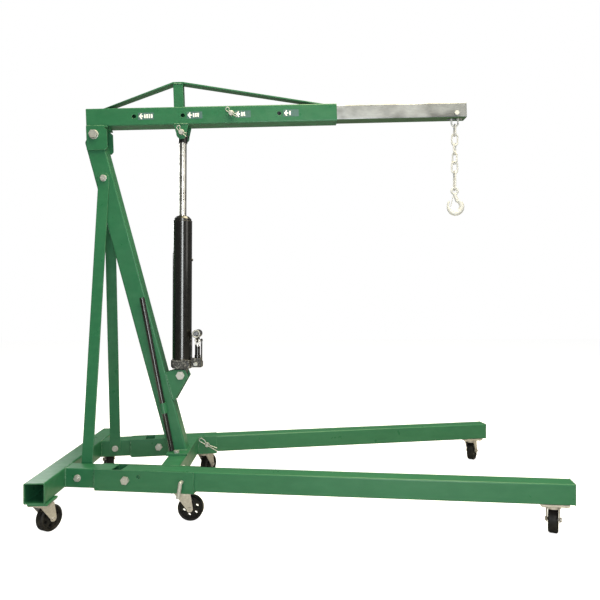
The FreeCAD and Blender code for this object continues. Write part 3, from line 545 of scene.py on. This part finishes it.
strap.append([boom_point(TRUSS_FRONT, -0.018, deck), boom_point(TRUSS_FRONT, 0.018, deck)])
strap.append([boom_point(TRUSS_REAR - 0.002, -0.018, deck),
              boom_point(TRUSS_REAR - 0.002, 0.018, deck)])
welds("weld_truss", [post] + cap + strap, 0.0026, "boom")

ears = []
for side in SIDES:
    ears.append([boom_point(RAM_TOP - 0.028, side * (HALF + 0.0012), BOOM_DROP + 0.0006),
                 boom_point(RAM_TOP + 0.028, side * (HALF + 0.0012), BOOM_DROP + 0.0006)])
welds("weld_ram_ears", ears, 0.0026, "boom")

saddle = []
for side in SIDES:
    saddle.append([boom_point(-0.027, side * (HALF + 0.0020), BOOM_DROP + 0.0008),
                   boom_point(0.040, side * (HALF + 0.0020), BOOM_DROP + 0.0008)])
saddle.append([boom_point(0.0412, -HALF + 0.004, BOOM_DROP - 0.0008),
               boom_point(0.0412, HALF - 0.004, BOOM_DROP - 0.0008)])
welds("weld_saddle", saddle, 0.0028, "boom")

# ---- washers --------------------------------------------------------------------------------
for side in SIDES:
    tag = side_name(side)
    washer("washer_boom_pivot_" + tag, PIVOT + Vector((0, side * CHEEK_Y, 0)), (0, side, 0),
           0.0145, 0.0188, "boom")
    at = leg_point(BRACE_STATION, HALF, BASE_Z + HALF, side)
    washer("washer_brace_" + tag, at, leg_normal(side), 0.0090, 0.0130, "base")
    at = leg_point(BRACE_STATION, -(HALF + BRACE_THICK), BASE_Z + HALF, side)
    washer("washer_brace_inner_" + tag, at, -leg_normal(side), 0.0090, 0.0130, "base")
    at = PIVOT + Vector((-MAST_SET_BACK * math.cos(LEAN) - MAST_BOLT_RISE * math.sin(LEAN),
                         side * (HALF + BRACE_THICK),
                         -MAST_SET_BACK * math.sin(LEAN) + MAST_BOLT_RISE * math.cos(LEAN)))
    washer("washer_mast_" + tag, at, (0, side, 0), 0.0090, 0.0132, "base")

# ---- capacity marks beside the boom's holes ---------------------------------------------------
HOLES = [HOLE_FIRST + HOLE_PITCH * i for i in range(HOLE_COUNT)]
LABEL_Y = HALF + 0.00025
MARK_Y = HALF + 0.00055


def sheet_points(outline, u, side, y):
    mid = BOOM_DROP + HALF
    return [boom_point(u + x, side * y, mid + w) for x, w in outline]


def decal(name, outlines, u, side, y, thickness, material):
    """Thin vinyl shapes on the boom's side, their outlines in millimetres from the hole."""
    verts, faces = [], []
    for outline in outlines:
        outline = [(a / 1000, b / 1000) for a, b in outline]
        n = len(outline)
        base = len(verts)
        verts += sheet_points(outline, u, side, y) + sheet_points(outline, u, side, y - thickness)
        front = list(range(base, base + n))
        back = list(range(base + n, base + 2 * n))
        faces.append(front if side < 0 else front[::-1])
        faces.append(back[::-1] if side < 0 else back)
        faces += [(base + k, base + n + k, base + n + (k + 1) % n, base + (k + 1) % n)
                  for k in range(n)]
    return piece(name, verts, faces, material, "boom", smooth=False)


def rounded(x0, x1, z0, z1, r, steps=5):
    outline = []
    for cx, cz, start in ((x1 - r, z1 - r, 0), (x0 + r, z1 - r, 90),
                          (x0 + r, z0 + r, 180), (x1 - r, z0 + r, 270)):
        for i in range(steps + 1):
            turn = math.radians(start + 90 * i / steps)
            outline.append((cx + r * math.cos(turn), cz + r * math.sin(turn)))
    return outline


ARROW = [(19, 0), (29, 12), (32.5, 9.5), (28.5, 3.0), (36, 3.0),
         (36, -3.0), (28.5, -3.0), (32.5, -9.5), (29, -12)]
for index, u in enumerate(HOLES):
    bars = []
    for k in range(HOLE_COUNT - index):
        left = 40 + 9.0 * k
        bars.append(rounded(left, left + 6.2, -8.0, 8.0, 1.4))
    for side in SIDES:
        tag = "%d_%s" % (index + 1, side_name(side))
        decal("label_" + tag, [rounded(16, 78, -14, 14, 3)], u, side, LABEL_Y, 0.0002, LABEL)
        decal("label_marks_" + tag, [ARROW] + bars, u, side, MARK_Y, 0.0003, MARKS)

# ---- ram details ------------------------------------------------------------------------------
ram_axis = (boom_point(RAM_TOP, 0, 0) - RAM_FOOT).normalized()


def on_ram(height):
    return RAM_FOOT + ram_axis * height


def ram_ring(name, height, inner, outer, tall, material, body):
    soft = min(0.0008, tall / 3)
    profile = [(inner, 0), (outer - soft, 0), (outer, soft), (outer, tall - soft),
               (outer - soft, tall), (inner, tall)]
    return turned_ring(name, on_ram(height), ram_axis, profile, material, body,
                       segments=64)


ram_ring("ram_seam_top", 0.6145, 0.0370, 0.0384, 0.0032, GLOSS, "cylinder")
ram_ring("ram_seam_base", 0.0612, 0.0370, 0.0386, 0.0036, GLOSS, "cylinder")
ram_ring("ram_wiper", 0.6352, 0.0153, 0.0188, 0.0026, RUBBER, "cylinder")

lever_low, lever_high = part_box("pump_lever")
mouth = on_ram(SOCKET_RISE)
turned_ring("socket_mouth", (lever_high.x - 0.016, lever_low.y - 0.0002, mouth.z), (0, 1, 0),
            [(0.0112, 0.0), (0.0148, 0.0), (0.0162, 0.0012), (0.0162, 0.0060), (0.0159, 0.0060),
             (0.0112, 0.0006)],
            ZINC, "lever")

# ---- stage, lights, camera --------------------------------------------------------------------
FLOOR_GLOW = 0.90        # the floor's emission, to camera rays only
WORLD_SEEN = 1.0         # the world's strength to camera rays
WORLD_LIGHT = 0.15       # and to all other rays


def floor():
    size = 9.0
    mesh = bpy.data.meshes.new("studio_floor")
    corners = [(-size, -size, 0.0), (size, -size, 0.0), (size, size, 0.0), (-size, size, 0.0)]
    mesh.from_pydata(corners, [], [(0, 1, 2, 3)])
    made = bpy.data.objects.new("studio_floor", mesh)
    bpy.context.scene.collection.objects.link(made)
    f = Finish("studio_white")
    f.colour(f.mix(f.noise(0.8, 2.0), rgb(0.50, 0.50, 0.49), rgb(0.54, 0.54, 0.53)))
    f.roughness(0.9)
    f.shader.inputs["Specular IOR Level"].default_value = 0.0
    f.shader.inputs["Emission Color"].default_value = rgb(1, 1, 1)
    seen = f.add("ShaderNodeLightPath").outputs["Is Camera Ray"]
    f.link(f.span(seen, 0.0, 1.0, 0.0, FLOOR_GLOW), f.shader.inputs["Emission Strength"])
    mesh.materials.append(f.material)


def area(name, at, aim, width, height, watts, colour):
    lamp = bpy.data.lights.new(name, "AREA")
    lamp.shape = "RECTANGLE"
    lamp.size = width
    lamp.size_y = height
    lamp.energy = watts
    lamp.color = colour
    made = bpy.data.objects.new(name, lamp)
    made.location = at
    made.rotation_euler = (Vector(aim) - Vector(at)).to_track_quat("-Z", "Y").to_euler()
    bpy.context.scene.collection.objects.link(made)


def world():
    made = bpy.data.worlds.new("studio")
    made.use_nodes = True
    bpy.context.scene.world = made
    tree = made.node_tree
    background = tree.nodes["Background"]
    path = tree.nodes.new("ShaderNodeLightPath")
    strength = tree.nodes.new("ShaderNodeMapRange")
    strength.inputs["To Min"].default_value = WORLD_LIGHT
    strength.inputs["To Max"].default_value = WORLD_SEEN
    tree.links.new(path.outputs["Is Camera Ray"], strength.inputs["Value"])
    tree.links.new(strength.outputs["Result"], background.inputs["Strength"])
    background.inputs["Color"].default_value = rgb(1, 1, 1)


def camera():
    data = bpy.data.cameras.new("camera")
    data.lens = 35.96
    data.sensor_width = 36.0
    data.shift_x = -0.0271
    data.shift_y = 0.0030
    data.clip_end = 100.0
    made = bpy.data.objects.new("camera", data)
    made.location = (-0.0287, -2.4329, 0.7954)
    made.rotation_euler = (math.radians(89.622), 0.0, math.radians(-2.347))
    bpy.context.scene.collection.objects.link(made)
    bpy.context.scene.camera = made


bpy.context.scene.view_settings.view_transform = "Standard"
floor()
world()
area("overhead", (0.5, -0.3, 3.3), (0.0, 0.0, 0.4), 3.2, 2.4, 235, (1.0, 0.88, 0.58))
area("front_box", (0.12, -3.4, 0.85), (0.0, 0.0, 0.75), 0.9, 2.2, 80, (0.96, 1.0, 1.0))
area("front_right", (2.8, -1.6, 1.8), (0.0, 0.0, 0.6), 1.6, 1.6, 14, (1.0, 0.97, 0.92))
area("rear_left", (-2.6, 2.4, 2.0), (0.0, 0.0, 0.6), 1.6, 1.6, 45, (1.0, 1.0, 1.0))
camera()
